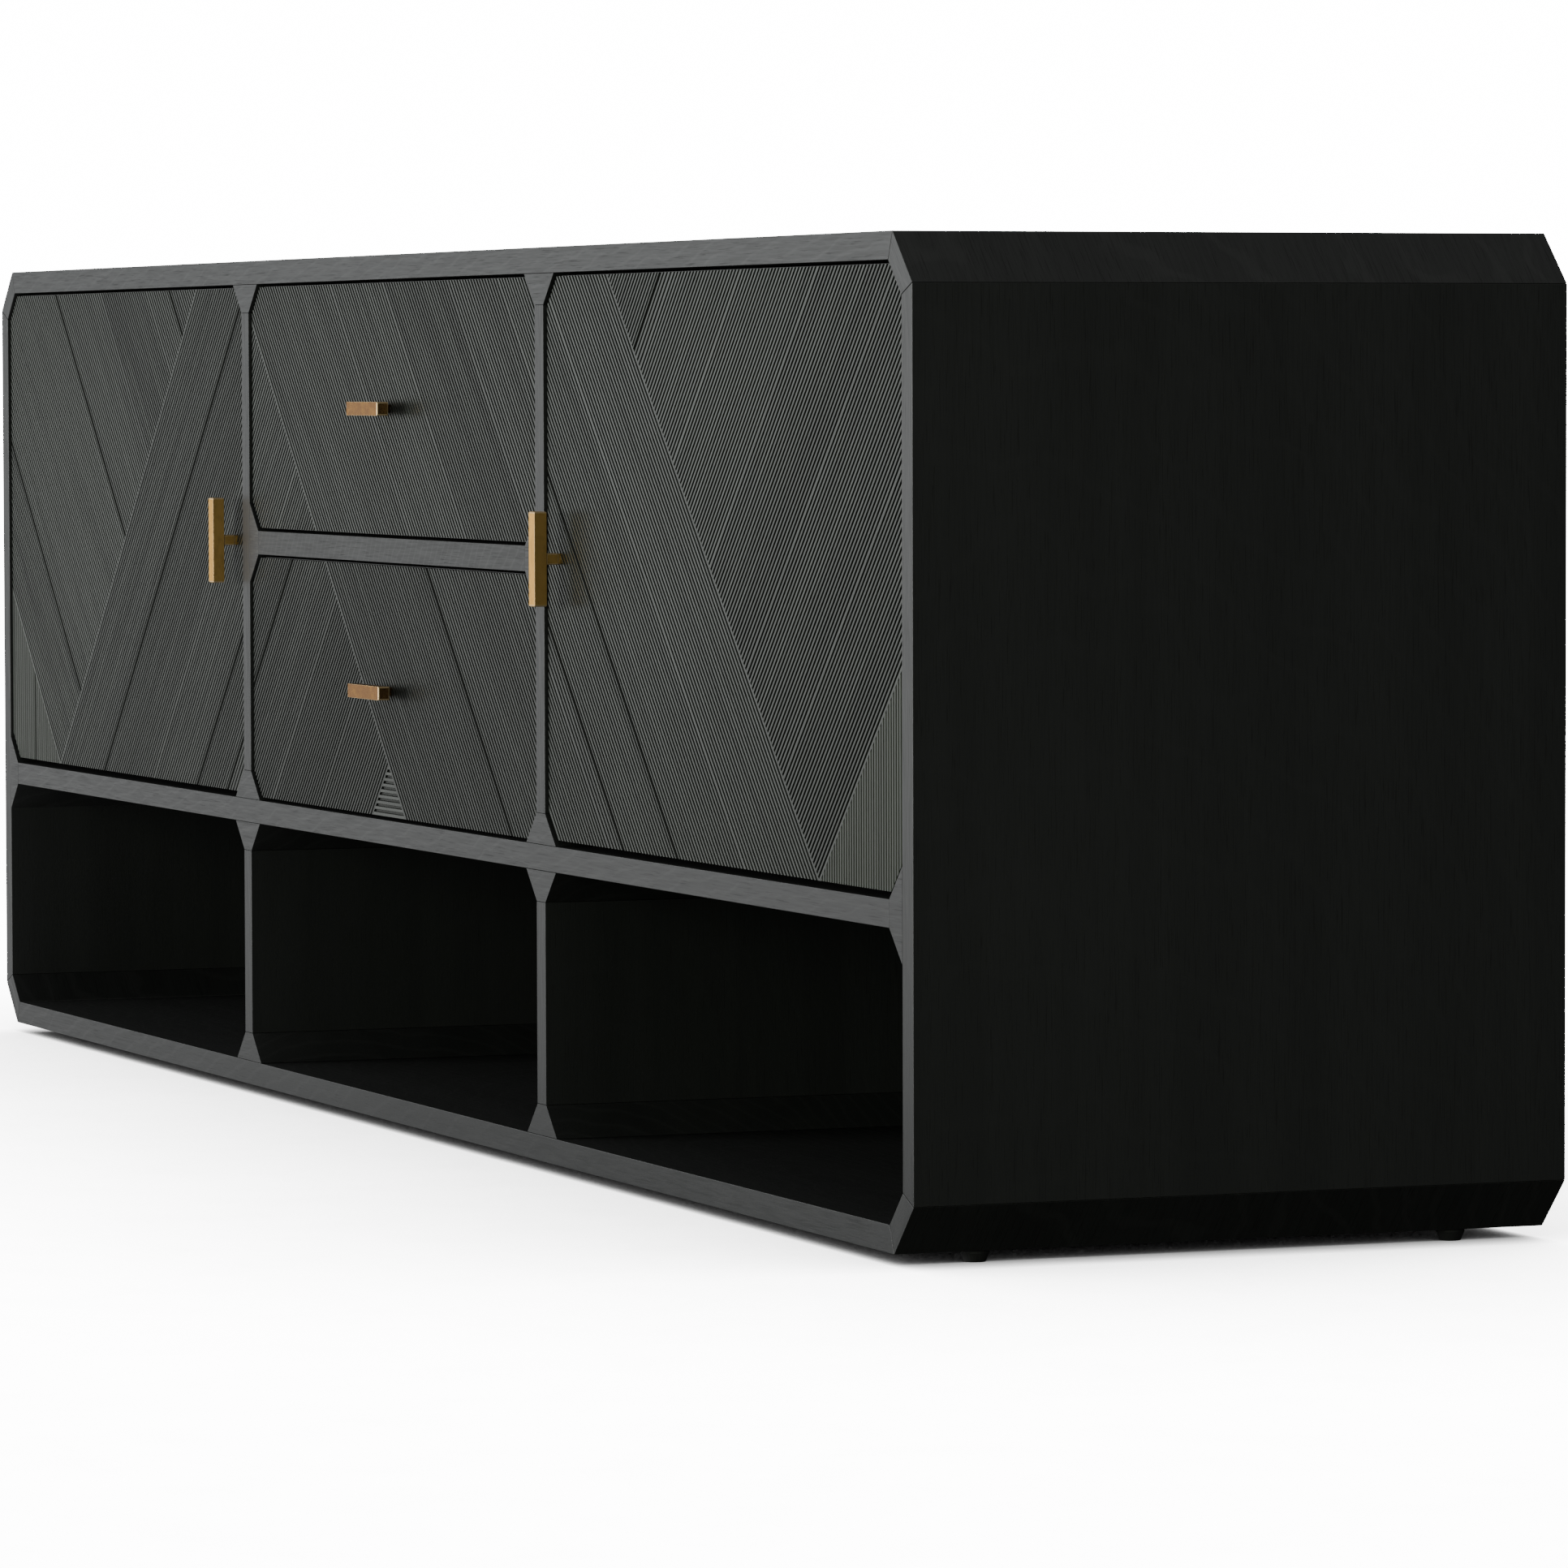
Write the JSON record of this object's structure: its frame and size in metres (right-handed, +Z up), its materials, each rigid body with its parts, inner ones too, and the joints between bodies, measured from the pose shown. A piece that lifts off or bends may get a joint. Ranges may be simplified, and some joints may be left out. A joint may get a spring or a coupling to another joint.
{
  "type": "sideboard buffet",
  "caption": "Long low octagonal-section sideboard with two reeded doors, stacked drawers between them, open compartments below, and small brass bar pulls.",
  "frame": {"origin": "middle of the bounding box in plan, at floor level under the glides", "axes": "+X to the right of somebody facing the front, +Y from the front towards the back, +Z up"},
  "size_m": [2.06, 0.47, 0.648],
  "materials": {
    "charcoal_oak": "charcoal-stained open-pored oak, satin",
    "reeded_oak": "charcoal-stained oak, finely reeded, satin",
    "back_board": "black-stained veneered board, matt",
    "drawer_maple": "clear-lacquered maple, satin",
    "aged_brass": "solid brass, warm patina, polished edges",
    "hinge_steel": "nickel-plated steel",
    "black_glide": "black plastic, matt"
  },
  "bodies": {
    "case": {"top_panel": "charcoal_oak", "bottom_panel": "charcoal_oak", "back_panel": "back_board", "middle_shelf": "charcoal_oak", "drawer_rail": "charcoal_oak", "side_panel_left": "charcoal_oak", "bevel_strip_bottom_left": "charcoal_oak", "bevel_strip_top_left": "charcoal_oak", "shelf_end_block_left": "charcoal_oak", "divider_upper_left": "charcoal_oak", "divider_lower_left": "charcoal_oak", "divider_block_above_shelf_left": "charcoal_oak", "divider_block_top_left": "charcoal_oak", "divider_block_bottom_left": "charcoal_oak", "divider_block_below_shelf_left": "charcoal_oak", "rail_end_block_left": "charcoal_oak", "glide_front_left": "black_glide", "glide_back_left": "black_glide", "hinge_arm_left_lower": "hinge_steel", "hinge_arm_left_upper": "hinge_steel", "drawer_runner_lower_left": "drawer_maple", "drawer_runner_upper_left": "drawer_maple", "side_panel_right": "charcoal_oak", "bevel_strip_bottom_right": "charcoal_oak", "bevel_strip_top_right": "charcoal_oak", "shelf_end_block_right": "charcoal_oak", "divider_upper_right": "charcoal_oak", "divider_lower_right": "charcoal_oak", "divider_block_above_shelf_right": "charcoal_oak", "divider_block_top_right": "charcoal_oak", "divider_block_bottom_right": "charcoal_oak", "divider_block_below_shelf_right": "charcoal_oak", "rail_end_block_right": "charcoal_oak", "glide_front_right": "black_glide", "glide_back_right": "black_glide", "hinge_arm_right_lower": "hinge_steel", "hinge_arm_right_upper": "hinge_steel", "drawer_runner_lower_right": "drawer_maple", "drawer_runner_upper_right": "drawer_maple"},
    "left_door": {"left_door_front": "reeded_oak", "left_door_pull": "aged_brass", "left_door_hinge_cup_lower": "hinge_steel", "left_door_hinge_cup_upper": "hinge_steel"},
    "right_door": {"right_door_front": "reeded_oak", "right_door_pull": "aged_brass", "right_door_hinge_cup_lower": "hinge_steel", "right_door_hinge_cup_upper": "hinge_steel"},
    "upper_drawer": {"upper_drawer_front": "reeded_oak", "upper_drawer_knob": "aged_brass", "upper_drawer_side_left": "drawer_maple", "upper_drawer_side_right": "drawer_maple", "upper_drawer_back": "drawer_maple", "upper_drawer_bottom": "drawer_maple"},
    "lower_drawer": {"lower_drawer_front": "reeded_oak", "lower_drawer_knob": "aged_brass", "lower_drawer_side_left": "drawer_maple", "lower_drawer_side_right": "drawer_maple", "lower_drawer_back": "drawer_maple", "lower_drawer_bottom": "drawer_maple"}
  },
  "joints": [
    {"name": "left_door_hinge", "type": "hinge", "parent": "case", "child": "left_door", "pos_m": [-1.01, -0.216, 0.43125], "axis": [0, 0, -1], "range_deg": [0, 110]},
    {"name": "right_door_hinge", "type": "hinge", "parent": "case", "child": "right_door", "pos_m": [1.01, -0.216, 0.43125], "axis": [0, 0, 1], "range_deg": [0, 110]},
    {"name": "upper_drawer_slide", "type": "slide", "parent": "case", "child": "upper_drawer", "axis": [0, -1, 0], "range_m": [0, 0.3]},
    {"name": "lower_drawer_slide", "type": "slide", "parent": "case", "child": "lower_drawer", "axis": [0, -1, 0], "range_m": [0, 0.3]}
  ]
}
